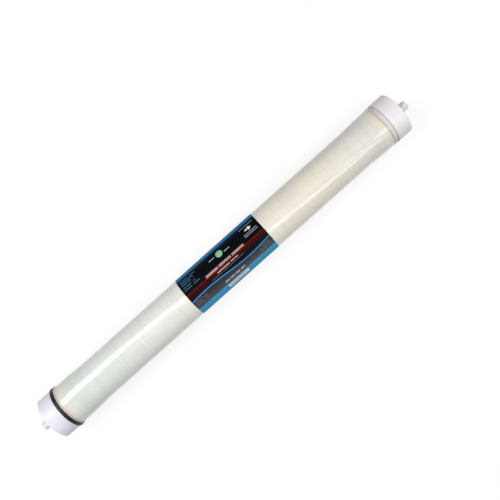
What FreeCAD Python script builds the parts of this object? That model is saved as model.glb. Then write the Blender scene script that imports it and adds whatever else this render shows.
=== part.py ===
"""Spiral-wound reverse osmosis membrane element, 4 by 40 inch class.

A perforated product tube runs through the whole element.  Membrane leaves and feed spacers are wound
round it, bound with tape and wrapped in a glass-fibre shell.  An end cap with a spoked web closes each
end and stops the roll from telescoping.  A V-lip brine seal sits in the groove of the feed end cap.

The axis is X, water flows towards +X, the label faces +Z and the origin is the middle of the element.
"""
import FreeCAD, Part
import math
import os
import Sketcher

doc = FreeCAD.newDocument("MembraneElement")

# ---------------------------------------------------------------- driving dimensions, millimetres
SIZES = (
    ("overall_length", "1016", "tip to tip of the product tube"),
    ("stub_length", "26.7", "free tube beyond the rim of each end cap"),
    ("stub_diameter", "19.05", "turned seat for the coupler's O-rings"),
    ("stub_chamfer", "1.2", "lead-in at the tube's tip"),
    ("core_rise", "0.975", "tube inside the roll and the hubs, above its seats"),
    ("tube_wall", "1.775", "product tube at its seats"),
    ("perforation_diameter", "3.2", "holes that take the product water"),
    ("perforation_count", "4", "holes in one row"),
    ("perforation_margin", "100", "from the ends of the roll to the nearest hole"),
    ("bond_gap", "0.05", "glue film between tube and hub"),
    ("carrier_thickness", "0.6", "knitted carrier wound round the tube"),
    ("leaf_count", "6", "membrane leaves, each with its feed spacer"),
    ("leaf_thickness", "1.9", "glued membrane envelope"),
    ("spacer_thickness", "1.6", "feed spacer net"),
    ("layer_gap", "0.05", "between neighbouring turns"),
    ("roll_diameter", "86", "wound roll"),
    ("roll_fit", "0.3", "round and behind the roll in the end caps"),
    ("tape_thickness", "0.35", "binding tape, wound from skirt to skirt"),
    ("skirt_wall", "2", "skirt that the shell is wound over"),
    ("skirt_length", "20", "skirt from its edge to the flange"),
    ("collar_rise", "3", "collar and flange above the skirt"),
    ("flange_width", "1.6", "flange between shell and seal groove"),
    ("groove_width", "8", "brine seal groove"),
    ("collar_length", "35.3", "from the groove to the rim"),
    ("collar_wall", "3.2", "collar round the rim's recess"),
    ("rim_chamfer", "1", "outer edge of the rim"),
    ("web_depth", "18", "spokes, along the axis at the wall"),
    ("web_setback", "6", "from the rim to the spokes at the wall"),
    ("hub_setback", "2", "from the rim to the spokes at the hub"),
    ("hub_wall", "5", "hub round the product tube"),
    ("hub_ledge", "1", "from the hub's side to the windows"),
    ("window_land", "1.8", "from the roll's seat to the windows"),
    ("window_corner", "3", "rounding of the windows' outer corners"),
    ("spoke_width", "3.5", "thickness of a spoke"),
    ("spoke_count", "8", "spokes"),
    ("seal_lip_rise", "1.9", "tip of the brine seal's lip above the collar"),
    ("seal_heel_rise", "0.7", "heel of the brine seal above the collar"),
    ("seal_wall", "1.3", "each leg of the seal at its mouth"),
    ("seal_heel", "2.2", "from the heel to the bottom of the V"),
    ("seal_play", "0.3", "on each side of the seal in its groove"),
    ("shell_wall", "1.8", "glass-fibre shell over the tape"),
    ("shell_cover", "1.8", "glass-fibre shell over the skirts"),
    ("shell_fit", "0.05", "under the shell and at its ends"),
    ("flare_length", "65", "from the full end diameter to the slimmer middle"),
    ("label_length", "210", "label along the axis"),
    ("label_height", "148", "label round the shell"),
    ("label_thickness", "0.3", "printed film"),
    ("label_glue", "0.1", "between the film and the shell"),
    ("label_offset", "7.4", "middle of the label towards the concentrate end"),
)

# ---------------------------------------------------------------- radii and places that follow from them
PLACES = (
    ("rim", "Sizes.overall_length / 2 - Sizes.stub_length"),
    ("cap_length", "Sizes.skirt_length + Sizes.flange_width + Sizes.groove_width + Sizes.collar_length"),
    ("groove_start", "Sizes.skirt_length + Sizes.flange_width"),
    ("groove_end", "groove_start + Sizes.groove_width"),
    ("web_front", "cap_length - Sizes.web_setback"),
    ("web_back", "web_front - Sizes.web_depth"),
    ("stub_radius", "Sizes.stub_diameter / 2"),
    ("core_radius", "stub_radius + Sizes.core_rise"),
    ("bore_radius", "stub_radius - Sizes.tube_wall"),
    ("roll_radius", "Sizes.roll_diameter / 2"),
    ("seat_radius", "roll_radius + Sizes.roll_fit"),
    ("skirt_radius", "seat_radius + Sizes.skirt_wall"),
    ("cap_radius", "skirt_radius + Sizes.collar_rise"),
    ("recess_radius", "cap_radius - Sizes.collar_wall"),
    ("hub_radius", "core_radius + Sizes.hub_wall"),
    ("hub_bore_radius", "core_radius + Sizes.bond_gap"),
    ("window_low", "hub_radius + Sizes.hub_ledge"),
    ("window_high", "seat_radius - Sizes.window_land"),
    ("seal_radius", "cap_radius + Sizes.seal_lip_rise"),
    ("seal_heel_radius", "cap_radius + Sizes.seal_heel_rise"),
    ("seal_root_radius", "(skirt_radius + seal_heel_radius) / 2"),
    ("roll_length", "2 * (rim - cap_length + web_back - Sizes.roll_fit)"),
    ("perforation_pitch", "(roll_length - 2 * Sizes.perforation_margin) / (Sizes.perforation_count - 0.5)"),
    ("carrier_radius", "core_radius + Sizes.carrier_thickness"),
    ("slot", "Sizes.leaf_thickness + Sizes.spacer_thickness + 2 * Sizes.layer_gap"),
    ("corner_radius", "slot / 2 / sin(180deg / Sizes.leaf_count)"),
    ("side_distance", "slot / 2 / tan(180deg / Sizes.leaf_count)"),
    ("first_string", "slot / 2 + sqrt((carrier_radius + Sizes.layer_gap)^2 - side_distance^2)"),
    ("tape_bore_radius", "roll_radius + Sizes.shell_fit"),
    ("tape_radius", "tape_bore_radius + Sizes.tape_thickness"),
    ("tape_length", "2 * (rim - cap_length - Sizes.shell_fit)"),
    ("shell_bore_radius", "tape_radius + Sizes.shell_fit"),
    ("shell_radius", "shell_bore_radius + Sizes.shell_wall"),
    ("shell_end_bore_radius", "skirt_radius + Sizes.shell_fit"),
    ("shell_end_radius", "shell_end_bore_radius + Sizes.shell_cover"),
    ("shell_length", "2 * (rim - cap_length + Sizes.skirt_length - Sizes.shell_fit)"),
    ("label_bore_radius", "shell_radius + Sizes.label_glue"),
    ("label_radius", "label_bore_radius + Sizes.label_thickness"),
)

sizes = doc.addObject("Spreadsheet::Sheet", "Sizes")
for row, (alias, value, note) in enumerate(SIZES, start=1):
    sizes.set(f"A{row}", alias.replace("_", " "))
    sizes.set(f"B{row}", value)
    sizes.setAlias(f"B{row}", alias)
    sizes.set(f"C{row}", note)

places = doc.addObject("Spreadsheet::Sheet", "Places")
doc.recompute()
for row, (alias, formula) in enumerate(PLACES, start=1):
    places.set(f"A{row}", alias.replace("_", " "))
    places.set(f"B{row}", "=" + formula)
    places.setAlias(f"B{row}", alias)
    doc.recompute()


def size(alias):
    """A driving dimension as a number."""
    return float(sizes.get(alias))


def place(alias):
    """A worked-out radius or place as a number."""
    return float(places.get(alias))


# ---------------------------------------------------------------- helpers for bodies and sketches
X_AXIS = FreeCAD.Vector(1, 0, 0)
Z_AXIS = FreeCAD.Vector(0, 0, 1)
ORIGIN_POINT = (-1, 1)
SMALL_ANGLE = 1e-6
SMALL_LENGTH = 1e-4
FACES_FEED_END = FreeCAD.Rotation(Z_AXIS, 180)

elements = []


def new_body(label):
    body = doc.addObject("PartDesign::Body", "Body_" + label)
    body.Label = label
    elements.append(body)
    return body


def origin_feature(body, role):
    return next(feature for feature in body.Origin.OriginFeatures if feature.Role == role)


def new_sketch(body, name, plane):
    sketch = body.newObject("Sketcher::SketchObject", name)
    sketch.AttachmentSupport = (origin_feature(body, plane), [""])
    sketch.MapMode = "FlatFace"
    return sketch


def profile(body, name, plane, corners):
    """Closed outline of straight runs.  Each corner gives its distance along X and its radius."""
    sketch = new_sketch(body, name, plane)
    count = len(corners)
    turn = 2 * math.pi / count
    start = [FreeCAD.Vector(2 - math.cos(i * turn), 2 + math.sin(i * turn)) for i in range(count)]
    for i in range(count):
        sketch.addGeometry(Part.LineSegment(start[i], start[(i + 1) % count]))
    for i in range(count):
        sketch.addConstraint(Sketcher.Constraint("Coincident", i, 2, (i + 1) % count, 1))
    for i, (along, radius) in enumerate(corners):
        if along == "0":
            sketch.addConstraint(Sketcher.Constraint("PointOnObject", i, 1, -2))  # on the vertical axis
        else:
            index = sketch.addConstraint(Sketcher.Constraint("DistanceX", *ORIGIN_POINT, i, 1, start[i].x))
            sketch.setExpression(f"Constraints[{index}]", along)
        index = sketch.addConstraint(Sketcher.Constraint("DistanceY", *ORIGIN_POINT, i, 1, start[i].y))
        sketch.setExpression(f"Constraints[{index}]", radius)
    return sketch


def revolve(body, sketch):
    """Turn a profile a full circle about X."""
    revolution = body.newObject("PartDesign::Revolution", sketch.Name + "_turned")
    revolution.Profile = sketch
    revolution.ReferenceAxis = (sketch, ["H_Axis"])
    revolution.Angle = 360
    sketch.Visibility = False
    return revolution


def turned(label, corners):
    """A body that is one profile revolved about X."""
    body = new_body(label)
    revolve(body, profile(body, label + "_profile", "XY_Plane", corners))
    return body


def centred(body, length):
    """Put a body that starts at X = 0 with its middle on the element's."""
    body.setExpression("Placement.Base.x", f"-({length}) / 2")


def cut_through(body, sketch, both_ways):
    pocket = body.newObject("PartDesign::Pocket", sketch.Name + "_cut")
    pocket.Profile = sketch
    pocket.Type = "ThroughAll"
    pocket.SideType = "Symmetric" if both_ways else "One side"
    pocket.Reversed = not both_ways
    sketch.Visibility = False
    return pocket


def finish_pattern(body, pattern):
    body.Tip = pattern
    return pattern


# ---------------------------------------------------------------- product tube
def product_tube():
    """Turned and drilled tube: coupler seats at both ends, rows of cross holes inside the roll."""
    far_seat = "Sizes.overall_length - Sizes.stub_length"
    bore = "Places.bore_radius"
    seat = "Places.stub_radius"
    core = "Places.core_radius"
    tip = seat + " - Sizes.stub_chamfer"
    corners = (
        ("0", bore),
        ("0", tip),
        ("Sizes.stub_chamfer", seat),
        ("Sizes.stub_length", seat),
        ("Sizes.stub_length", core),
        (far_seat, core),
        (far_seat, seat),
        ("Sizes.overall_length - Sizes.stub_chamfer", seat),
        ("Sizes.overall_length", tip),
        ("Sizes.overall_length", bore),
    )
    body = turned("product_tube", corners)
    centred(body, "Sizes.overall_length")
    first = "(Sizes.overall_length - Places.roll_length) / 2 + Sizes.perforation_margin"
    drill_row(body, "XY_Plane", first)
    drill_row(body, "XZ_Plane", first + " + Places.perforation_pitch / 2")
    return body


def drill_row(body, plane, first):
    """Cross holes right through the tube, repeated along it."""
    sketch = new_sketch(body, "perforation_" + plane[:2], plane)
    circle = sketch.addGeometry(Part.Circle(FreeCAD.Vector(2, 0), Z_AXIS, 1))
    sketch.addConstraint(Sketcher.Constraint("PointOnObject", circle, 3, -1))
    index = sketch.addConstraint(Sketcher.Constraint("DistanceX", *ORIGIN_POINT, circle, 3, 2))
    sketch.setExpression(f"Constraints[{index}]", first)
    index = sketch.addConstraint(Sketcher.Constraint("Diameter", circle, 2))
    sketch.setExpression(f"Constraints[{index}]", "Sizes.perforation_diameter")
    hole = cut_through(body, sketch, both_ways=True)
    row = body.newObject("PartDesign::LinearPattern", "row_" + plane[:2])
    row.Originals = [hole]
    row.Direction = (sketch, ["H_Axis"])
    row.setExpression("Length", "(Sizes.perforation_count - 1) * Places.perforation_pitch")
    row.setExpression("Occurrences", "Sizes.perforation_count")
    return finish_pattern(body, row)


# ---------------------------------------------------------------- the roll
def tube_carrier():
    """First turn of knitted carrier, laid straight on the tube."""
    corners = (
        ("0", "Places.core_radius"),
        ("0", "Places.carrier_radius"),
        ("Places.roll_length", "Places.carrier_radius"),
        ("Places.roll_length", "Places.core_radius"),
    )
    body = turned("tube_carrier", corners)
    centred(body, "Places.roll_length")
    return body


def unwound(string, turn, first_angle):
    """Spiral traced by a string unwinding from a polygon with as many corners as leaves.

    It is a chain of arcs round the corners, each longer in radius by one side.  The side is one slot, so
    the leaves that start at the other corners run parallel to it, one slot apart.
    """
    corner_angle = 2 * math.pi / size("leaf_count")
    edges = []
    while turn > SMALL_ANGLE:
        step = min(turn, corner_angle)
        centre = on_circle(place("corner_radius"), first_angle)
        direction = first_angle + math.pi / 2 + corner_angle / 2
        ends = [centre + on_circle(string, direction - share * step) for share in (0, 0.5, 1)]
        edges.append(Part.Arc(*ends).toShape())
        first_angle -= corner_angle
        string += place("slot")
        turn -= step
    return edges


def full_turn(string):
    """Angle that a string of this length unwinds before its end reaches the roll's outer radius."""
    corner_angle = 2 * math.pi / size("leaf_count")
    slot = place("slot")
    corner = place("corner_radius")
    outer = place("roll_radius")
    whole_arcs = math.floor((math.sqrt(outer ** 2 - place("side_distance") ** 2) - slot / 2 - string) / slot) + 1
    last_string = string + whole_arcs * slot
    closing = math.acos((outer ** 2 - corner ** 2 - last_string ** 2) / (2 * last_string * corner))
    return whole_arcs * corner_angle + math.pi / 2 + corner_angle / 2 - closing


def wound_sheet(label, depth, thickness, turn, first_angle):
    """One sheet of the roll, as long as the roll.  Its inner side lies at this depth in the slot."""
    string = place("first_string") + depth
    inside = unwound(string, turn, first_angle)
    outside = unwound(string + thickness, turn, first_angle)
    starts = Part.makeLine(inside[0].firstVertex().Point, outside[0].firstVertex().Point)
    ends = Part.makeLine(inside[-1].lastVertex().Point, outside[-1].lastVertex().Point)
    face = Part.Face(Part.Wire(Part.__sortEdges__([*inside, ends, *outside, starts])))
    strip = face.extrude(Z_AXIS * place("roll_length"))
    sheet = doc.addObject("Part::Feature", "Sheet_" + label)
    sheet.Label = label
    sheet.Shape = strip
    sheet.Placement = FreeCAD.Placement(X_AXIS * (-place("roll_length") / 2), FreeCAD.Rotation(Z_AXIS, X_AXIS))
    elements.append(sheet)
    return sheet


def roll():
    """The leaves start at even steps round the tube, each with its feed spacer on its outer side."""
    leaves = round(size("leaf_count"))
    spacer_depth = size("leaf_thickness") + size("layer_gap")
    turn = full_turn(place("first_string") + spacer_depth + size("spacer_thickness"))
    for number in range(leaves):
        first_angle = 2 * math.pi * number / leaves
        wound_sheet(f"membrane_leaf_{number + 1}", 0, size("leaf_thickness"), turn, first_angle)
        wound_sheet(f"feed_spacer_{number + 1}", spacer_depth, size("spacer_thickness"), turn, first_angle)


def binding_tape():
    """Tape wound round the roll, which holds it shut under the shell."""
    corners = (
        ("0", "Places.tape_bore_radius"),
        ("0", "Places.tape_radius"),
        ("Places.tape_length", "Places.tape_radius"),
        ("Places.tape_length", "Places.tape_bore_radius"),
    )
    body = turned("binding_tape", corners)
    centred(body, "Places.tape_length")
    return body


# ---------------------------------------------------------------- end caps and brine seal
def end_cap(label):
    """Moulded cap: skirt, flange, seal groove and collar in one turned form, with windows cut in its web."""
    flange = "Sizes.skirt_length"
    corners = (
        ("0", "Places.seat_radius"),
        ("0", "Places.skirt_radius"),
        (flange, "Places.skirt_radius"),
        (flange, "Places.cap_radius"),
        ("Places.groove_start", "Places.cap_radius"),
        ("Places.groove_start", "Places.skirt_radius"),
        ("Places.groove_end", "Places.skirt_radius"),
        ("Places.groove_end", "Places.cap_radius"),
        ("Places.cap_length - Sizes.rim_chamfer", "Places.cap_radius"),
        ("Places.cap_length", "Places.cap_radius - Sizes.rim_chamfer"),
        ("Places.cap_length", "Places.recess_radius"),
        ("Places.web_front", "Places.recess_radius"),
        ("Places.cap_length - Sizes.hub_setback", "Places.hub_radius"),
        ("Places.cap_length", "Places.hub_radius"),
        ("Places.cap_length", "Places.hub_bore_radius"),
        ("Places.web_back", "Places.hub_bore_radius"),
        ("Places.web_back", "Places.seat_radius"),
    )
    body = turned(label, corners)
    cut_windows(body)
    round_windows(body)
    return body


def cut_windows(body):
    """A ring of windows between the hub and the wall, with spokes of one width between them."""
    low = place("window_low")
    high = place("window_high")
    half_spoke = size("spoke_width") / 2
    step = 2 * math.pi / size("spoke_count")
    near_angles = [math.asin(half_spoke / radius) for radius in (low, high)]
    far_angles = [step - angle for angle in near_angles]
    sketch = new_sketch(body, "window", "YZ_Plane")
    centre = FreeCAD.Vector(0, 0, 0)
    inner = sketch.addGeometry(Part.ArcOfCircle(Part.Circle(centre, Z_AXIS, low), near_angles[0], far_angles[0]))
    outer = sketch.addGeometry(Part.ArcOfCircle(Part.Circle(centre, Z_AXIS, high), near_angles[1], far_angles[1]))
    near = sketch.addGeometry(Part.LineSegment(on_circle(low, near_angles[0]), on_circle(high, near_angles[1])))
    far = sketch.addGeometry(Part.LineSegment(on_circle(low, far_angles[0]), on_circle(high, far_angles[1])))
    for arc in (inner, outer):
        sketch.addConstraint(Sketcher.Constraint("Coincident", arc, 3, *ORIGIN_POINT))
    for side, arc_end in ((near, 1), (far, 2)):
        sketch.addConstraint(Sketcher.Constraint("Coincident", side, 1, inner, arc_end))
        sketch.addConstraint(Sketcher.Constraint("Coincident", side, 2, outer, arc_end))
        index = sketch.addConstraint(Sketcher.Constraint("Distance", *ORIGIN_POINT, side, half_spoke))
        sketch.setExpression(f"Constraints[{index}]", "Sizes.spoke_width / 2")
    sketch.addConstraint(Sketcher.Constraint("Horizontal", near))
    index = sketch.addConstraint(Sketcher.Constraint("Angle", near, 1, far, 1, step))
    sketch.setExpression(f"Constraints[{index}]", "360deg / Sizes.spoke_count")
    for arc, radius, name in ((inner, low, "window_low"), (outer, high, "window_high")):
        index = sketch.addConstraint(Sketcher.Constraint("Radius", arc, radius))
        sketch.setExpression(f"Constraints[{index}]", "Places." + name)
    window = cut_through(body, sketch, both_ways=False)
    ring = body.newObject("PartDesign::PolarPattern", "windows")
    ring.Originals = [window]
    ring.Axis = (origin_feature(body, "X_Axis"), [""])
    ring.Angle = 360
    ring.setExpression("Occurrences", "Sizes.spoke_count")
    return finish_pattern(body, ring)


def round_windows(body):
    """Fillets where the spokes run into the wall: the web's edges along the axis, at its outer radius."""
    doc.recompute()
    middle = (place("window_low") + place("window_high")) / 2
    names = []
    for number, edge in enumerate(body.Shape.Edges, start=1):
        ends = [vertex.Point for vertex in edge.Vertexes]
        straight = len(ends) == 2 and (ends[1] - ends[0]).cross(X_AXIS).Length < SMALL_LENGTH
        if straight and middle < math.hypot(ends[0].y, ends[0].z) < place("window_high") + SMALL_LENGTH:
            names.append(f"Edge{number}")
    pierced = body.Tip
    fillet = body.newObject("PartDesign::Fillet", "window_corners")
    fillet.Base = (pierced, names)
    fillet.setExpression("Radius", "Sizes.window_corner")
    return fillet


def on_circle(radius, angle):
    return FreeCAD.Vector(radius * math.cos(angle), radius * math.sin(angle), 0)


def end_caps():
    """The same moulding at both ends, each with its rim outwards."""
    feed = end_cap("feed_end_cap")
    feed.Placement = FreeCAD.Placement(FreeCAD.Vector(), FACES_FEED_END)
    feed.setExpression("Placement.Base.x", "Places.cap_length - Places.rim")
    concentrate = end_cap("concentrate_end_cap")
    concentrate.setExpression("Placement.Base.x", "Places.rim - Places.cap_length")


def brine_seal():
    """V-lip ring: its inner leg on the groove's floor, its lip open towards the feed."""
    width = "Sizes.groove_width - 2 * Sizes.seal_play"
    floor = "Places.skirt_radius"
    corners = (
        ("0", floor),
        (width, floor),
        (width, floor + " + Sizes.seal_wall"),
        ("Sizes.seal_heel", "Places.seal_root_radius"),
        (width, "Places.seal_radius - Sizes.seal_wall"),
        (width, "Places.seal_radius"),
        ("0", "Places.seal_heel_radius"),
    )
    body = turned("brine_seal", corners)
    body.Placement = FreeCAD.Placement(FreeCAD.Vector(), FACES_FEED_END)
    heel = "Places.rim - Places.cap_length + Places.groove_start + Sizes.seal_play"
    body.setExpression("Placement.Base.x", f"-({heel})")
    return body


# ---------------------------------------------------------------- shell and label
def outer_shell():
    """Glass-fibre winding: slim over the roll, flared at both ends to pass over the skirts."""
    length = "Places.shell_length"
    cover = "Sizes.skirt_length"
    corners = (
        ("0", "Places.shell_end_bore_radius"),
        ("0", "Places.shell_end_radius"),
        (cover, "Places.shell_end_radius"),
        (f"{cover} + Sizes.flare_length", "Places.shell_radius"),
        (f"{length} - {cover} - Sizes.flare_length", "Places.shell_radius"),
        (f"{length} - {cover}", "Places.shell_end_radius"),
        (length, "Places.shell_end_radius"),
        (length, "Places.shell_end_bore_radius"),
        (f"{length} - {cover}", "Places.shell_end_bore_radius"),
        (f"{length} - {cover}", "Places.shell_bore_radius"),
        (cover, "Places.shell_bore_radius"),
        (cover, "Places.shell_end_bore_radius"),
    )
    body = turned("outer_shell", corners)
    centred(body, length)
    return body


def label():
    """Printed film laid on the shell, its middle facing up."""
    body = new_body("label")
    corners = (
        ("0", "Places.label_bore_radius"),
        ("0", "Places.label_radius"),
        ("Sizes.label_length", "Places.label_radius"),
        ("Sizes.label_length", "Places.label_bore_radius"),
    )
    film = revolve(body, profile(body, "label_profile", "XZ_Plane", corners))
    film.Midplane = True
    film.setExpression("Angle", "Sizes.label_height / Places.label_bore_radius * 1rad")
    body.setExpression("Placement.Base.x", "Sizes.label_offset - Sizes.label_length / 2")
    return body


product_tube()
tube_carrier()
roll()
binding_tape()
end_caps()
brine_seal()
outer_shell()
label()
doc.recompute()

# ---------------------------------------------------------------- check the document, then write each part
for item in doc.Objects:
    if "Invalid" in item.State or "Error" in item.State:
        raise RuntimeError(f"{item.Label} did not recompute: {item.State}")

os.makedirs("parts", exist_ok=True)
for element in elements:
    if element.Shape.isNull() or not element.Shape.isValid() or len(element.Shape.Solids) != 1:
        raise RuntimeError(f"{element.Label} is not one valid solid")
for element in elements:
    element.Shape.exportStep(f"parts/{element.Label}.step")
    print(f"{element.Label}: {element.Shape.Volume / 1000:.1f} cm3")
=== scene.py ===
import math

import bpy
import numpy as np
from mathutils import Matrix, Vector


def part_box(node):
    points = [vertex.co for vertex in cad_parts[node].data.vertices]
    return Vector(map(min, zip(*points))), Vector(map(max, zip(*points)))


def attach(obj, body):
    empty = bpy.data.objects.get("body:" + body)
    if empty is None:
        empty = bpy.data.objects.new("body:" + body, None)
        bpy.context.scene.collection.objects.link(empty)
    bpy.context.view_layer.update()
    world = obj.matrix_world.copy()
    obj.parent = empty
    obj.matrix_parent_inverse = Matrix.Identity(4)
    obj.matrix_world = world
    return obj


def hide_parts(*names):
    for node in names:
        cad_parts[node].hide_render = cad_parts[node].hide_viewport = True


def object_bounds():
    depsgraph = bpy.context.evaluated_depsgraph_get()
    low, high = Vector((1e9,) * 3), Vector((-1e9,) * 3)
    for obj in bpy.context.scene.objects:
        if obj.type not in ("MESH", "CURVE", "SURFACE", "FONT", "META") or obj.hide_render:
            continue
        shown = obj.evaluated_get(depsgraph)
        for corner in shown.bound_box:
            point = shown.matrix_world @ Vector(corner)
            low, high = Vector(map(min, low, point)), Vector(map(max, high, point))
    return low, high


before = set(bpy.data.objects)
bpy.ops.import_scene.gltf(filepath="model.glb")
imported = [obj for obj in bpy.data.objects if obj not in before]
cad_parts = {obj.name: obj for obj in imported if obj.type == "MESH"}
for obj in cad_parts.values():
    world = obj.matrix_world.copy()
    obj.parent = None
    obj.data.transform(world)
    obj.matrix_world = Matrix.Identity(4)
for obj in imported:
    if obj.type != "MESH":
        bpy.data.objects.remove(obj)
cad_low, cad_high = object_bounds()

MM = 0.001
TURN = 2 * math.pi

# ---------------------------------------------------------------- stations read from the frame, metres
SHELL_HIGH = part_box("outer_shell")[1]
LABEL_LOW, LABEL_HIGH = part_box("label")
SEAL_LOW, SEAL_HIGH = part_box("brine_seal")
SHELL_END = SHELL_HIGH.x
END_RADIUS = SHELL_HIGH.z
LABEL_RADIUS = LABEL_HIGH.z
LABEL_MIDDLE = (LABEL_LOW.x + LABEL_HIGH.x) / 2
FLOOR_Z = cad_low.z

# sizes of the source that the frame's boxes don't give
SEAL_PLAY = 0.3 * MM
LABEL_FILM = 0.3 * MM
LABEL_LIFT = 0.4 * MM
SHELL_WALL = 1.8 * MM
SKIRT_COVER = 20 * MM
FLARE = 65 * MM
MIDDLE_RADIUS = LABEL_RADIUS - LABEL_LIFT

# the seal groove of each cap, by its distance from the middle of the element
GROOVE_MIDDLE = -(SEAL_LOW.x + SEAL_HIGH.x) / 2
GROOVE_HALF = (SEAL_HIGH.x - SEAL_LOW.x) / 2 + SEAL_PLAY


# ---------------------------------------------------------------- mesh helpers
CREASE_DEGREES = 35


def smoothstep(values, low, high):
    t = np.clip((values - low) / (high - low), 0.0, 1.0)
    return t * t * (3 - 2 * t)


def add_mesh(name, points, faces, material):
    """New piece on the body, smooth but for its creases, with its material."""
    mesh = bpy.data.meshes.new(name)
    mesh.from_pydata([tuple(p) for p in points], [], faces)
    mesh.update()
    mesh.shade_smooth()
    mesh.set_sharp_from_angle(angle=math.radians(CREASE_DEGREES))
    piece = bpy.data.objects.new(name, mesh)
    bpy.context.scene.collection.objects.link(piece)
    mesh.materials.append(material)
    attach(piece, "root")
    return piece


def closed_ring_faces(rows, columns):
    """Quads over a grid of points that closes round its columns and round its rows."""
    faces = []
    for i in range(rows):
        a, b = i * columns, ((i + 1) % rows) * columns
        for j in range(columns):
            k = (j + 1) % columns
            faces.append((a + j, b + j, b + k, a + k))
    return faces


def waves(x, angle, terms, seed):
    """Smooth uneven relief in about -1..1: sines in cycles a metre along x and whole cycles round the axis."""
    draw = np.random.RandomState(seed)
    total = np.zeros_like(x + angle)
    for _ in range(terms):
        along = draw.uniform(4, 60)
        round_axis = draw.randint(-3, 4)
        total += np.sin(TURN * along * x + round_axis * angle + draw.uniform(0, TURN))
    return total / math.sqrt(terms) / 1.5


# ---------------------------------------------------------------- node helpers
def srgb(red, green, blue):
    """Linear colour from 0..255 display values."""
    values = []
    for c in (red, green, blue):
        c /= 255
        values.append(c / 12.92 if c <= 0.04045 else ((c + 0.055) / 1.055) ** 2.4)
    return (*values, 1.0)


class Nodes:
    """Builds a material's node tree from sockets and plain numbers."""

    def __init__(self, name):
        self.material = bpy.data.materials.new(name)
        self.material.use_nodes = True
        self.tree = self.material.node_tree
        self.shader = self.tree.nodes["Principled BSDF"]

    def add(self, kind, **settings):
        node = self.tree.nodes.new(kind)
        for key, value in settings.items():
            setattr(node, key, value)
        return node

    def put(self, socket, value):
        """Links a socket to the input, or sets the input to a number or a colour."""
        if isinstance(value, bpy.types.NodeSocket):
            self.tree.links.new(value, socket)
        elif socket.type == "VECTOR":
            socket.default_value = value[:3]
        else:
            socket.default_value = value

    def math(self, operation, *values):
        node = self.add("ShaderNodeMath", operation=operation)
        for socket, value in zip(node.inputs, values):
            self.put(socket, value)
        return node.outputs[0]

    def position(self):
        """X, Y and Z in the element's frame."""
        split = self.add("ShaderNodeSeparateXYZ")
        self.tree.links.new(self.add("ShaderNodeTexCoord").outputs["Object"], split.inputs[0])
        return split.outputs

    def noise(self, scales, detail=2.0, roughness=0.5):
        """Noise with its own scale along each axis, in cycles a metre."""
        mapping = self.add("ShaderNodeMapping")
        mapping.inputs["Scale"].default_value = scales
        self.tree.links.new(self.add("ShaderNodeTexCoord").outputs["Object"], mapping.inputs["Vector"])
        node = self.add("ShaderNodeTexNoise")
        self.put(node.inputs["Scale"], 1.0)
        self.put(node.inputs["Detail"], detail)
        self.put(node.inputs["Roughness"], roughness)
        self.tree.links.new(mapping.outputs[0], node.inputs["Vector"])
        return node.outputs["Fac"]

    def span(self, value, low, high, out_low=0.0, out_high=1.0, smooth=True):
        """The value's place between low and high, carried to out_low..out_high and held there outside."""
        node = self.add("ShaderNodeMapRange", interpolation_type="SMOOTHSTEP" if smooth else "LINEAR")
        for name, number in (("Value", value), ("From Min", low), ("From Max", high),
                             ("To Min", out_low), ("To Max", out_high)):
            self.put(node.inputs[name], number)
        return node.outputs["Result"]

    def vary(self, noise, low, high):
        """The middle of a noise's range, carried evenly to low..high."""
        return self.span(noise, 0.3, 0.7, low, high, smooth=False)

    def mix(self, factor, first, second):
        node = self.add("ShaderNodeMix", data_type="RGBA")
        colour_a, colour_b, colour_out = node.inputs[6], node.inputs[7], node.outputs[2]
        self.put(node.inputs["Factor"], factor)
        self.put(colour_a, first)
        self.put(colour_b, second)
        return colour_out

    def ramp(self, factor, stops):
        """Colour ramp over (place, display colour) stops."""
        node = self.add("ShaderNodeValToRGB")
        elements = node.color_ramp.elements
        while len(elements) < len(stops):
            elements.new(1.0)
        for element, (place, colour) in zip(elements, stops):
            element.position = place
            element.color = srgb(*colour)
        self.put(node.inputs[0], factor)
        return node.outputs[0]

    def grade(self, colour, factor):
        """Colour times a number."""
        node = self.add("ShaderNodeVectorMath", operation="SCALE")
        self.put(node.inputs[0], colour)
        self.put(node.inputs["Scale"], factor)
        return node.outputs[0]

    def bump(self, height, distance, normal=None):
        node = self.add("ShaderNodeBump")
        self.put(node.inputs["Height"], height)
        self.put(node.inputs["Distance"], distance)
        self.put(node.inputs["Strength"], 1.0)
        if normal is not None:
            self.put(node.inputs["Normal"], normal)
        return node.outputs[0]

    def rounded(self, radius):
        """Normal with the edges eased by a radius."""
        node = self.add("ShaderNodeBevel", samples=6)
        self.put(node.inputs["Radius"], radius)
        return node.outputs[0]

    def set(self, **sockets):
        """Sets the shader's inputs, named with underscores for spaces, and gives the material."""
        for name, value in sockets.items():
            self.put(self.shader.inputs[name.replace("_", " ")], value)
        return self.material


# ---------------------------------------------------------------- materials
# resin tints from the feed end (0) to the concentrate end (1)
RESIN_TINTS = ((0.0, (212, 219, 212)), (0.13, (219, 224, 218)), (0.27, (227, 228, 222)),
               (0.5, (228, 226, 217)), (0.67, (230, 224, 209)), (0.84, (229, 223, 209)),
               (0.93, (223, 221, 212)), (1.0, (226, 222, 212)))
RESIN_REACH = 0.44
CREAM = srgb(233, 227, 206)
PEACH = srgb(228, 206, 188)
# painted shade for the shell's ends, where they meet each cap's flange
SHELL_JOINT_SHADE = srgb(172, 152, 132)
# painted shade for the corners of each cap's seal groove
GROOVE_CORNER_SHADE = srgb(188, 176, 168)


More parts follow.
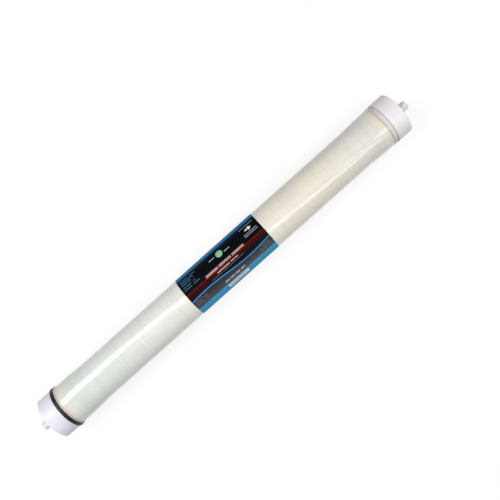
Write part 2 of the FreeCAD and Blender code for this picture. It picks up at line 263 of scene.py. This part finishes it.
def fibreglass():
    """Wound glass fibre under clear resin: hoop streaks, cloudy tint, warm bands at both ends and a painted
    shade line where the shell meets each cap.
    """
    n = Nodes("wound_fibreglass")
    x = n.position()[0]
    fibres = n.noise((1100, 7, 7), detail=3, roughness=0.6)
    rovings = n.noise((170, 6, 6), detail=2)
    cloud = n.noise((14, 26, 26), detail=3)
    uneven = n.noise((20, 30, 30), detail=2)

    colour = n.ramp(n.span(x, -RESIN_REACH, RESIN_REACH, smooth=False), RESIN_TINTS)
    from_end = n.math("SUBTRACT", SHELL_END, n.math("ABSOLUTE", x))
    edge = n.math("ADD", from_end, n.vary(uneven, -5 * MM, 5 * MM))
    cream = n.math("MULTIPLY", n.span(edge, 36 * MM, 8 * MM), 0.55)
    colour = n.mix(cream, colour, CREAM)
    peach = n.math("MULTIPLY", n.span(edge, 13 * MM, 5 * MM), n.vary(uneven, 0.35, 0.75))
    colour = n.mix(peach, colour, PEACH)
    # painted contact shade: the colour darkens to tan over the last 2.2 mm of the shell, where it meets the
    # cap's flange
    colour = n.mix(n.span(from_end, 2.2 * MM, 1.0 * MM, 0.0, 0.85), colour, SHELL_JOINT_SHADE)

    streaks = n.span(fibres, 0.25, 0.75, 0.95, 1.03, smooth=False)
    shade = n.math("ADD", streaks, n.vary(rovings, -0.045, 0.03))
    shade = n.math("ADD", shade, n.vary(cloud, -0.03, 0.02))
    normal = n.bump(n.math("ADD", n.math("MULTIPLY", fibres, 0.5), rovings), 0.06 * MM)
    roughness = n.span(fibres, 0.2, 0.8, 0.3, 0.45, smooth=False)
    return n.set(Base_Color=n.grade(colour, shade), Roughness=roughness, Normal=normal,
                 Specular_IOR_Level=0.1, Coat_Weight=0.9, Coat_Roughness=0.08)


def moulded(name, feed_tint, tint, grain=0.02):
    """Moulded plastic with eased edges, faint flow marks, a fine surface and painted shade lines in the
    groove's corners.
    """
    n = Nodes(name)
    x = n.position()[0]
    colour = n.mix(n.span(x, -0.40, 0.40), feed_tint, tint)
    off_groove = n.math("ABSOLUTE", n.math("SUBTRACT", n.math("ABSOLUTE", x), GROOVE_MIDDLE))
    off_corner = n.math("ABSOLUTE", n.math("SUBTRACT", off_groove, GROOVE_HALF))
    # painted shade: a darker grey-brown line within about a millimetre of each corner of the seal groove
    colour = n.mix(n.span(off_corner, 1.1 * MM, 0.3 * MM, 0.0, 0.75), colour, GROOVE_CORNER_SHADE)

    flow = n.noise((60, 25, 25), detail=3)
    fine = n.noise((2500, 2500, 2500), detail=2)
    shade = n.math("ADD", n.vary(flow, 1 - grain, 1 + grain), n.vary(fine, -0.01, 0.01))
    normal = n.bump(fine, 0.02 * MM, normal=n.rounded(0.5 * MM))
    return n.set(Base_Color=n.grade(colour, shade), Roughness=n.vary(flow, 0.28, 0.38),
                 Normal=normal, Specular_IOR_Level=0.3)


def rubber():
    """Black seal rubber with a faint bloom and a fine grain."""
    n = Nodes("seal_rubber")
    bloom = n.noise((300, 60, 60), detail=3)
    fine = n.noise((1800, 1800, 1800), detail=2)
    colour = n.mix(bloom, srgb(10, 10, 12), srgb(24, 24, 27))
    normal = n.bump(fine, 0.03 * MM, normal=n.rounded(0.4 * MM))
    return n.set(Base_Color=colour, Roughness=n.vary(bloom, 0.3, 0.42), Normal=normal,
                 Specular_IOR_Level=0.25)


def sheet(name, first, second, scales, distance):
    """Inner sheets: two tones mixed by a grain of its own scale."""
    n = Nodes(name)
    grain = n.noise(scales, detail=3)
    colour = n.mix(n.span(grain, 0.3, 0.7), first, second)
    return n.set(Base_Color=colour, Roughness=0.6, Normal=n.bump(grain, distance))


shell_look = fibreglass()
cap_look = moulded("cap_plastic", srgb(232, 231, 240), srgb(236, 232, 235))
tube_look = moulded("tube_plastic", srgb(232, 232, 230), srgb(232, 232, 230))
seal_look = rubber()
leaf_look = sheet("membrane_sheet", srgb(226, 227, 222), srgb(240, 240, 236), (200, 1500, 1500), 0.05 * MM)
net_look = sheet("spacer_net", srgb(150, 158, 160), srgb(196, 202, 202), (500, 900, 900), 0.2 * MM)
knit_look = sheet("carrier_knit", srgb(222, 220, 214), srgb(240, 239, 234), (1200, 1200, 1200), 0.08 * MM)
tape_look = sheet("tape_film", srgb(206, 200, 170), srgb(226, 220, 194), (120, 20, 20), 0.03 * MM)


# ---------------------------------------------------------------- label print
class Print(Nodes):
    """The label's film, printed over u (millimetres along the axis) and v (millimetres round it)."""

    def __init__(self, name, film):
        super().__init__(name)
        place = self.position()
        self.u = self.math("MULTIPLY", self.math("SUBTRACT", place[0], LABEL_MIDDLE), 1 / MM)
        self.v = self.math("MULTIPLY", self.math("ARCTAN2", place[1], place[2]), LABEL_RADIUS / MM)
        self.colour = film

    def ink(self, mask, tone, weight=1.0):
        """Lays a tone over what is printed so far."""
        if weight < 1.0:
            mask = self.math("MULTIPLY", mask, weight)
        self.colour = self.mix(mask, self.colour, tone)

    def shifted(self, edge, step):
        return self.math("ADD", edge, step) if isinstance(edge, bpy.types.NodeSocket) else edge + step

    def over(self, value, edge, width=0.25):
        """1 above the edge, 0 below it, with a soft width to each side."""
        return self.span(value, self.shifted(edge, -width), self.shifted(edge, width))

    def under(self, value, edge, width=0.25):
        return self.math("SUBTRACT", 1.0, self.over(value, edge, width))

    def within(self, value, low, high, width=0.25):
        return self.math("MULTIPLY", self.over(value, low, width), self.under(value, high, width))

    def box(self, u_low, u_high, v_low, v_high):
        return self.math("MULTIPLY", self.within(self.u, u_low, u_high), self.within(self.v, v_low, v_high))

    def bars(self, u_low, u_high, v_low, v_high, length, seed):
        """A row of bars of uneven length."""
        node = self.add("ShaderNodeTexNoise", noise_dimensions="1D")
        self.put(node.inputs["W"], self.math("MULTIPLY_ADD", self.u, 1 / length, seed * 17.3))
        self.put(node.inputs["Scale"], 1.0)
        self.put(node.inputs["Detail"], 0.0)
        marks = self.span(node.outputs["Fac"], 0.36, 0.40)
        return self.math("MULTIPLY", self.box(u_low, u_high, v_low, v_high), marks)

    def hatch(self, u_low, u_high, v_low, v_high, pitch, group):
        """Even upright strokes in even groups."""
        stroke = self.math("PINGPONG", self.u, pitch / 2)
        gap = self.math("PINGPONG", self.math("SUBTRACT", self.u, u_low), group / 2)
        marks = self.math("MULTIPLY", self.over(stroke, pitch * 0.15, 0.2),
                          self.over(gap, pitch * 0.45, 0.2))
        return self.math("MULTIPLY", self.box(u_low, u_high, v_low, v_high), marks)


FILM_BLACK = srgb(5, 6, 9)
RED_GLOW, RED_LINE = srgb(70, 4, 5), srgb(166, 30, 30)
GREY_DEEP, GREY_PALE = srgb(30, 31, 34), srgb(82, 83, 86)
WAVE_HALO, WAVE_LINE = srgb(14, 66, 118), srgb(104, 176, 222)
NAVY, TOP_BLUE = srgb(8, 34, 66), srgb(30, 118, 168)
BAND_BLUE, BAND_EDGE = srgb(66, 158, 204), srgb(20, 70, 104)
ARROW_WHITE = srgb(242, 244, 246)
DISC_GREEN, RING_GREEN = srgb(148, 200, 164), srgb(64, 112, 78)
ROW_BLUE, PALE = srgb(72, 120, 148), srgb(186, 190, 196)
ROSE, DIM = srgb(206, 176, 174), srgb(104, 106, 112)
BOX_RIM, BOX_WHITE, BOX_BAR = srgb(30, 60, 80), srgb(230, 234, 236), srgb(92, 98, 106)


def print_bands(n):
    """Red glow and line, wave line over a grey field, blue strips along both edges."""
    half_wave = 107
    crest = -62
    angle = n.math("MULTIPLY_ADD", n.u, math.pi / half_wave, -crest * math.pi / half_wave)
    wave = n.math("MULTIPLY_ADD", n.math("COSINE", angle), 3.4, -14.3)
    glow = n.math("MULTIPLY", n.span(n.v, -12, 3.4), n.span(n.v, 3.4, 7.0, 1.0, 0.0))
    n.ink(glow, RED_GLOW, 0.6)
    n.ink(n.under(n.v, wave), n.mix(n.span(n.v, -37, -15, 1.0, 0.25), GREY_DEEP, GREY_PALE))
    halo_low, halo_high = n.over(n.v, n.shifted(wave, -3.2), 1.6), n.under(n.v, n.shifted(wave, 2.6), 2.2)
    n.ink(n.math("MULTIPLY", halo_low, halo_high), WAVE_HALO, 0.6)
    n.ink(n.within(n.v, n.shifted(wave, -0.9), n.shifted(wave, 0.2), 0.35), WAVE_LINE)
    n.ink(n.within(n.v, 3.3, 4.0, 0.2), RED_LINE)
    n.ink(n.span(n.v, 37.0, 44.5, 0.0, 0.7), NAVY)
    n.ink(n.span(n.v, 45.5, 48.0), TOP_BLUE)
    n.ink(n.under(n.v, -36.7), BAND_BLUE)
    n.ink(n.within(n.v, -54.5, -53.7), BAND_EDGE)


def print_arrow(n):
    """Flow arrow towards the concentrate end."""
    shaft = n.box(72, 81, 26.2, 29.4)
    slope = n.math("MULTIPLY", n.math("SUBTRACT", 88.6, n.u), 0.62)
    off_middle = n.math("ABSOLUTE", n.math("SUBTRACT", n.v, 27.8))
    head = n.math("MULTIPLY", n.over(n.u, 80.6), n.under(off_middle, slope))
    n.ink(n.math("MAXIMUM", shaft, head), ARROW_WHITE)


def print_disc(n):
    """Plain disc with a ring in it."""
    squares = [n.math("POWER", n.math("SUBTRACT", way, at), 2.0) for way, at in ((n.u, 1.8), (n.v, 28.3))]
    radius = n.math("SQRT", n.math("ADD", *squares))
    n.ink(n.under(radius, 8.0), DISC_GREEN)
    n.ink(n.within(radius, 4.7, 5.5), RING_GREEN, 0.7)


def print_rows(n):
    """Rows of plain bars and even hatching, and a white box with one bar."""
    short, long = 9.0, 12.0
    rows = []
    for v_low, u_high in ((36.6, -61), (31.6, -68), (26.4, -68), (20.0, -68), (14.2, -61)):
        rows.append((-100, u_high, v_low, v_low + 1.6, ROW_BLUE, short))
    rows += [(-27, 29, -2.6, -0.6, ROSE, short), (-43, 45, -6.9, -5.9, DIM, long)]
    for v_low in (-17.4, -20.6, -23.8, -27.0):
        rows += [(-100, -70, v_low, v_low + 1.2, DIM, short), (70, 98, v_low - 3.5, v_low - 2.3, DIM, short)]
    for seed, (*sides, tone, length) in enumerate(rows):
        n.ink(n.bars(*sides, length, seed), tone)
    for sides in ((62, 98, 37.0, 37.9), (64, 98, 18.8, 19.8), (64, 98, 14.6, 15.6),
                  (-25, -10, 28.2, 30.0), (13, 27, 23.4, 25.0)):
        n.ink(n.box(*sides), PALE)
    n.ink(n.hatch(-51, 54, 4.9, 9.6, pitch=3.9, group=35.0), ROSE)
    n.ink(n.hatch(-28, 28, -31.0, -26.8, pitch=3.5, group=14.0), PALE)
    n.ink(n.box(-27.6, 28.6, -51.9, -39.6), BOX_RIM)
    n.ink(n.box(-27, 28, -51.3, -40.2), BOX_WHITE)
    n.ink(n.box(-22, 23, -46.6, -44.6), BOX_BAR)


def print_film():
    """Black film with plain bands, a wave line, a flow arrow, a disc and rows of plain bars.  No wording."""
    n = Print("label_print", FILM_BLACK)
    print_bands(n)
    print_arrow(n)
    print_disc(n)
    print_rows(n)
    grain = n.noise((1500, 1500, 1500), detail=2)
    ripple = n.noise((28, 40, 40), detail=2)
    normal = n.bump(n.math("MULTIPLY_ADD", grain, 0.08, ripple), 0.12 * MM)
    return n.set(Base_Color=n.grade(n.colour, n.vary(ripple, 0.96, 1.04)),
                 Roughness=n.vary(grain, 0.34, 0.42), Normal=normal, Specular_IOR_Level=0.03)


label_look = print_film()


# ---------------------------------------------------------------- shell and label
def shell_radius(x):
    """Outer radius of the shell: full over the skirts, flared down to the middle."""
    from_end = SHELL_END - np.abs(x)
    return END_RADIUS + (MIDDLE_RADIUS - END_RADIUS) * smoothstep(from_end, SKIRT_COVER, SKIRT_COVER + FLARE)


def wound_shell():
    """The winding's own relief: helical rovings, slow unevenness and eased ends, with its bore behind it."""
    rows_along, columns = 780, 96
    roving_pitch = 6 * MM
    ridge_height = 0.024 * MM
    slow_height = 0.06 * MM
    sunk = 0.10 * MM
    ease = 0.5 * MM
    relief_end = SHELL_END - 1.2 * MM

    x = np.linspace(-relief_end, relief_end, rows_along)
    angle = np.linspace(0, TURN, columns, endpoint=False)
    grid_x, grid_angle = np.meshgrid(x, angle, indexing="ij")
    slow = waves(grid_x, grid_angle, 9, 3)
    strength = 0.6 + 0.4 * waves(grid_x, grid_angle, 5, 8)
    wander = 2.2 * waves(grid_x, grid_angle, 6, 15)
    ridges = np.cos(TURN * grid_x / roving_pitch + grid_angle + wander)
    fade = smoothstep(SHELL_END - np.abs(grid_x), 1 * MM, 12 * MM)
    relief = ridge_height * ridges * strength + slow_height * slow
    outer = shell_radius(grid_x) - sunk * fade + fade * relief
    rows = [(np.full(columns, x_row), radius_row) for x_row, radius_row in zip(x, outer)]

    inner_end = END_RADIUS - SHELL_WALL
    inner_middle = MIDDLE_RADIUS - SHELL_WALL
    flare_end = SHELL_END - SKIRT_COVER - FLARE
    # (x, radius) round the concentrate end, back through the bore and round the feed end
    rounding = ((SHELL_END - 0.5 * ease, END_RADIUS - 0.1 * ease),
                (SHELL_END - 0.1 * ease, END_RADIUS - 0.5 * ease),
                (SHELL_END, END_RADIUS - ease))
    bore = ((SHELL_END, inner_end), (SHELL_END - SKIRT_COVER, inner_end), (flare_end, inner_middle))
    half_outline = rounding + bore
    other_half = tuple((-x_at, radius) for x_at, radius in reversed(half_outline))
    for x_at, radius in half_outline + other_half:
        rows.append((np.full(columns, x_at), np.full(columns, radius)))

    sine, cosine = np.sin(angle), np.cos(angle)
    points = np.concatenate([np.stack([rx, r * sine, r * cosine], axis=1) for rx, r in rows])
    piece = add_mesh("shell_winding", points, closed_ring_faces(len(rows), columns), shell_look)
    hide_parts("outer_shell")


def label_film():
    """The label's film: a curved sheet with its own thickness, rounded corners and a slight unevenness."""
    along, across = 169, 121
    corner = 3 * MM
    sunk = 0.05 * MM
    unevenness = 0.03 * MM
    edge_drop = 0.08 * MM
    edge_width = 0.25 * MM
    half_length = (LABEL_HIGH.x - LABEL_LOW.x) / 2
    half_angle = math.acos(LABEL_LOW.z / LABEL_RADIUS)
    half_width = half_angle * LABEL_RADIUS

    u, v = np.meshgrid(np.linspace(-1, 1, along), np.linspace(-1, 1, across), indexing="ij")
    inset = np.clip(np.abs(v) * half_width - (half_width - corner), 0, corner)
    reach = half_length - corner + np.sqrt(np.maximum(corner * corner - inset * inset, 0))
    x = LABEL_MIDDLE + u * reach
    angle = v * half_angle
    lift = unevenness * waves(x, 2 * angle, 8, 21)
    edge = np.minimum(reach - np.abs(x - LABEL_MIDDLE), half_width - np.abs(v) * half_width)
    ease = np.clip(edge / edge_width, 0, 1)
    outer = LABEL_RADIUS - sunk + lift - (1 - ease) * edge_drop
    inner = np.full_like(outer, LABEL_RADIUS - LABEL_FILM - sunk)
    points = []
    for radius in (outer, inner):
        points.append(np.stack([x, radius * np.sin(angle), radius * np.cos(angle)], axis=2).reshape(-1, 3))

    count = along * across
    faces = []
    for i in range(along - 1):
        for j in range(across - 1):
            a = i * across + j
            faces.append((a, a + 1, a + across + 1, a + across))
            faces.append((count + a, count + a + across, count + a + across + 1, count + a + 1))
    rim = [i * across for i in range(along)]
    rim += [(along - 1) * across + j for j in range(1, across)]
    rim += [i * across + across - 1 for i in range(along - 2, -1, -1)]
    rim += list(range(across - 2, 0, -1))
    for a, b in zip(rim, rim[1:] + rim[:1]):
        faces.append((a, b, count + b, count + a))
    piece = add_mesh("label_film", np.concatenate(points), faces, label_look)
    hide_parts("label")


wound_shell()
label_film()

LOOKS = {"feed_end_cap": cap_look, "concentrate_end_cap": cap_look, "brine_seal": seal_look,
         "product_tube": tube_look, "tube_carrier": knit_look, "binding_tape": tape_look}
for name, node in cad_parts.items():
    look = LOOKS.get(name) or (leaf_look if name.startswith("membrane") else net_look)
    for slot in node.material_slots:
        slot.material = look


# ---------------------------------------------------------------- floor, world, lamps, camera
FLOOR_REACH = 40.0
FLOOR_TONE = (150, 150, 150)
FLOOR_GLOW = 0.72
FADE_START, FADE_END = 0.5, 2.4
SKY_LEVEL = 0.10

# name, place, aim, size, watts
STRIP_ANGLE = math.atan2(-0.9, 0.44)
LAMPS = (("overhead", (0.0, 0.0, 3.2), (0, 0, 0), (2.0, 2.0), 13.5),
         ("feed_side", (-1.1, 0.9, 1.7), (-0.3, 0, 0), (0.8, 0.8), 12.5),
         ("concentrate_side", (1.1, -0.9, 1.7), (0.3, 0, 0), (0.8, 0.8), 8.0),
         ("feed_end_light", (-3.0, 0.0, 0.9), (-0.5, 0, 0), (1.2, 1.2), 32.0),
         ("concentrate_end_light", (3.0, 0.0, 0.9), (0.5, 0, 0), (1.2, 1.2), 32.0))

CAMERA_PLACE = Vector((0.0714, 0.0, 1.3793))
CAMERA_AIM = Vector((0.0618, -0.0107, 0.0))
CAMERA_UP_ANGLE = 0.7286
SENSOR_WIDTH = 36.0
IMAGE_WIDTH = 500
FOCAL_PIXELS = 656.5


def stage_floor():
    """Pale floor that keeps the object's shadow near it and fades to plain white further out."""
    corners = [(x, y, FLOOR_Z) for x, y in ((-FLOOR_REACH, -FLOOR_REACH), (FLOOR_REACH, -FLOOR_REACH),
                                            (FLOOR_REACH, FLOOR_REACH), (-FLOOR_REACH, FLOOR_REACH))]
    mesh = bpy.data.meshes.new("floor")
    mesh.from_pydata(corners, [], [(0, 1, 2, 3)])
    floor = bpy.data.objects.new("floor", mesh)
    bpy.context.scene.collection.objects.link(floor)
    n = Nodes("floor_white")
    tree = n.tree
    path = n.add("ShaderNodeLightPath")
    mirrored = n.math("MAXIMUM", path.outputs["Is Glossy Ray"], path.outputs["Is Transmission Ray"])
    seen = n.math("MAXIMUM", path.outputs["Is Camera Ray"], mirrored)
    glow = n.add("ShaderNodeEmission")
    place = n.position()
    squares = [n.math("POWER", way, 2.0) for way in (place[0], place[1])]
    distance = n.math("SQRT", n.math("ADD", *squares))
    level = n.span(distance, FADE_START, FADE_END, FLOOR_GLOW, 1.0)
    n.put(glow.inputs["Strength"], n.math("MULTIPLY", seen, level))
    diffuse = n.add("ShaderNodeBsdfDiffuse")
    tone = n.ramp(n.span(distance, FADE_START, FADE_END), ((0, FLOOR_TONE), (1, (0, 0, 0))))
    n.put(diffuse.inputs["Color"], tone)
    total = n.add("ShaderNodeAddShader")
    tree.links.new(diffuse.outputs[0], total.inputs[0])
    tree.links.new(glow.outputs[0], total.inputs[1])
    tree.links.new(total.outputs[0], tree.nodes["Material Output"].inputs["Surface"])
    tree.nodes.remove(n.shader)
    mesh.materials.append(n.material)


def white_world():
    """White to the camera and to reflections, a low even level to everything else."""
    world = bpy.data.worlds.new("world")
    bpy.context.scene.world = world
    world.use_nodes = True
    tree = world.node_tree
    background = tree.nodes["Background"]
    background.inputs["Color"].default_value = (1, 1, 1, 1)
    path = tree.nodes.new("ShaderNodeLightPath")
    seen = path.outputs["Is Camera Ray"]
    for ray in ("Is Glossy Ray", "Is Transmission Ray"):
        either = tree.nodes.new("ShaderNodeMath")
        either.operation = "MAXIMUM"
        tree.links.new(seen, either.inputs[0])
        tree.links.new(path.outputs[ray], either.inputs[1])
        seen = either.outputs[0]
    level = tree.nodes.new("ShaderNodeMapRange")
    level.inputs["To Min"].default_value = SKY_LEVEL
    level.inputs["To Max"].default_value = 1.0
    tree.links.new(seen, level.inputs["Value"])
    tree.links.new(level.outputs["Result"], background.inputs["Strength"])


def lamp(name, place, aim, size, watts, turn=0.0):
    """Soft rectangular lamp that the camera doesn't see, turned about its own beam."""
    data = bpy.data.lights.new(name, "AREA")
    data.shape = "RECTANGLE"
    data.size, data.size_y = size
    data.energy = watts
    light = bpy.data.objects.new(name, data)
    bpy.context.scene.collection.objects.link(light)
    beam = (Vector(aim) - Vector(place)).normalized()
    aimed = beam.to_track_quat("-Z", "Y").to_matrix().to_4x4()
    light.matrix_world = Matrix.Translation(place) @ aimed @ Matrix.Rotation(turn, 4, "Z")
    light.visible_camera = False


def photo_camera():
    """Camera above the element, with its picture turned so that the element lies across it at a slant."""
    ahead = (CAMERA_AIM - CAMERA_PLACE).normalized()
    up = Vector((math.sin(CAMERA_UP_ANGLE), math.cos(CAMERA_UP_ANGLE), 0.0))
    right = ahead.cross(up).normalized()
    up = right.cross(ahead)
    data = bpy.data.cameras.new("camera")
    data.sensor_width = SENSOR_WIDTH
    data.lens = FOCAL_PIXELS / IMAGE_WIDTH * SENSOR_WIDTH
    camera = bpy.data.objects.new("camera", data)
    bpy.context.scene.collection.objects.link(camera)
    basis = Matrix((right, up, -ahead)).transposed()
    camera.matrix_world = Matrix.Translation(CAMERA_PLACE) @ basis.to_4x4()
    bpy.context.scene.camera = camera


stage_floor()
white_world()
lamp("strip", (-0.05, -0.23, 1.9), (-0.05, -0.23, 0.0), (5.6, 0.34), 27.0, STRIP_ANGLE)
for settings in LAMPS:
    lamp(*settings)
photo_camera()
bpy.context.scene.view_settings.view_transform = "Standard"
